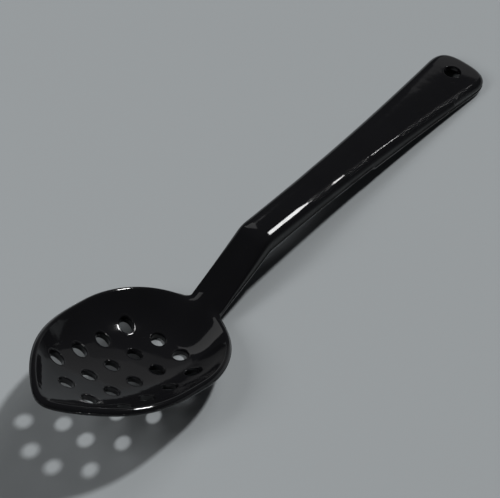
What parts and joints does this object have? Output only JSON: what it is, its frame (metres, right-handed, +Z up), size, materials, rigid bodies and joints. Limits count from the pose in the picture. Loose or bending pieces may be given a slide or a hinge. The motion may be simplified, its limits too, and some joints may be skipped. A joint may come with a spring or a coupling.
{
  "type": "perforated serving spoon",
  "caption": "One-piece moulded serving spoon with a dished, perforated oval bowl, a stepped neck and a channel handle that ends in a hanging hole.",
  "frame": {"origin": "on the table under the middle of the spoon as it rests, with the heel of the bowl and the end of the handle touching the table", "axes": "+X from the tip of the bowl towards the hanging end, +Y to the left edge, +Z up from the table"},
  "size_m": [0.2776, 0.0666, 0.0464],
  "materials": {
    "black_plastic": "glossy moulded black, with a faint ripple and fine scratches"
  },
  "bodies": {
    "root": {"bowl": "black_plastic", "rim": "black_plastic", "neck": "black_plastic", "handle": "black_plastic", "hanging_end": "black_plastic"}
  },
  "joints": []
}
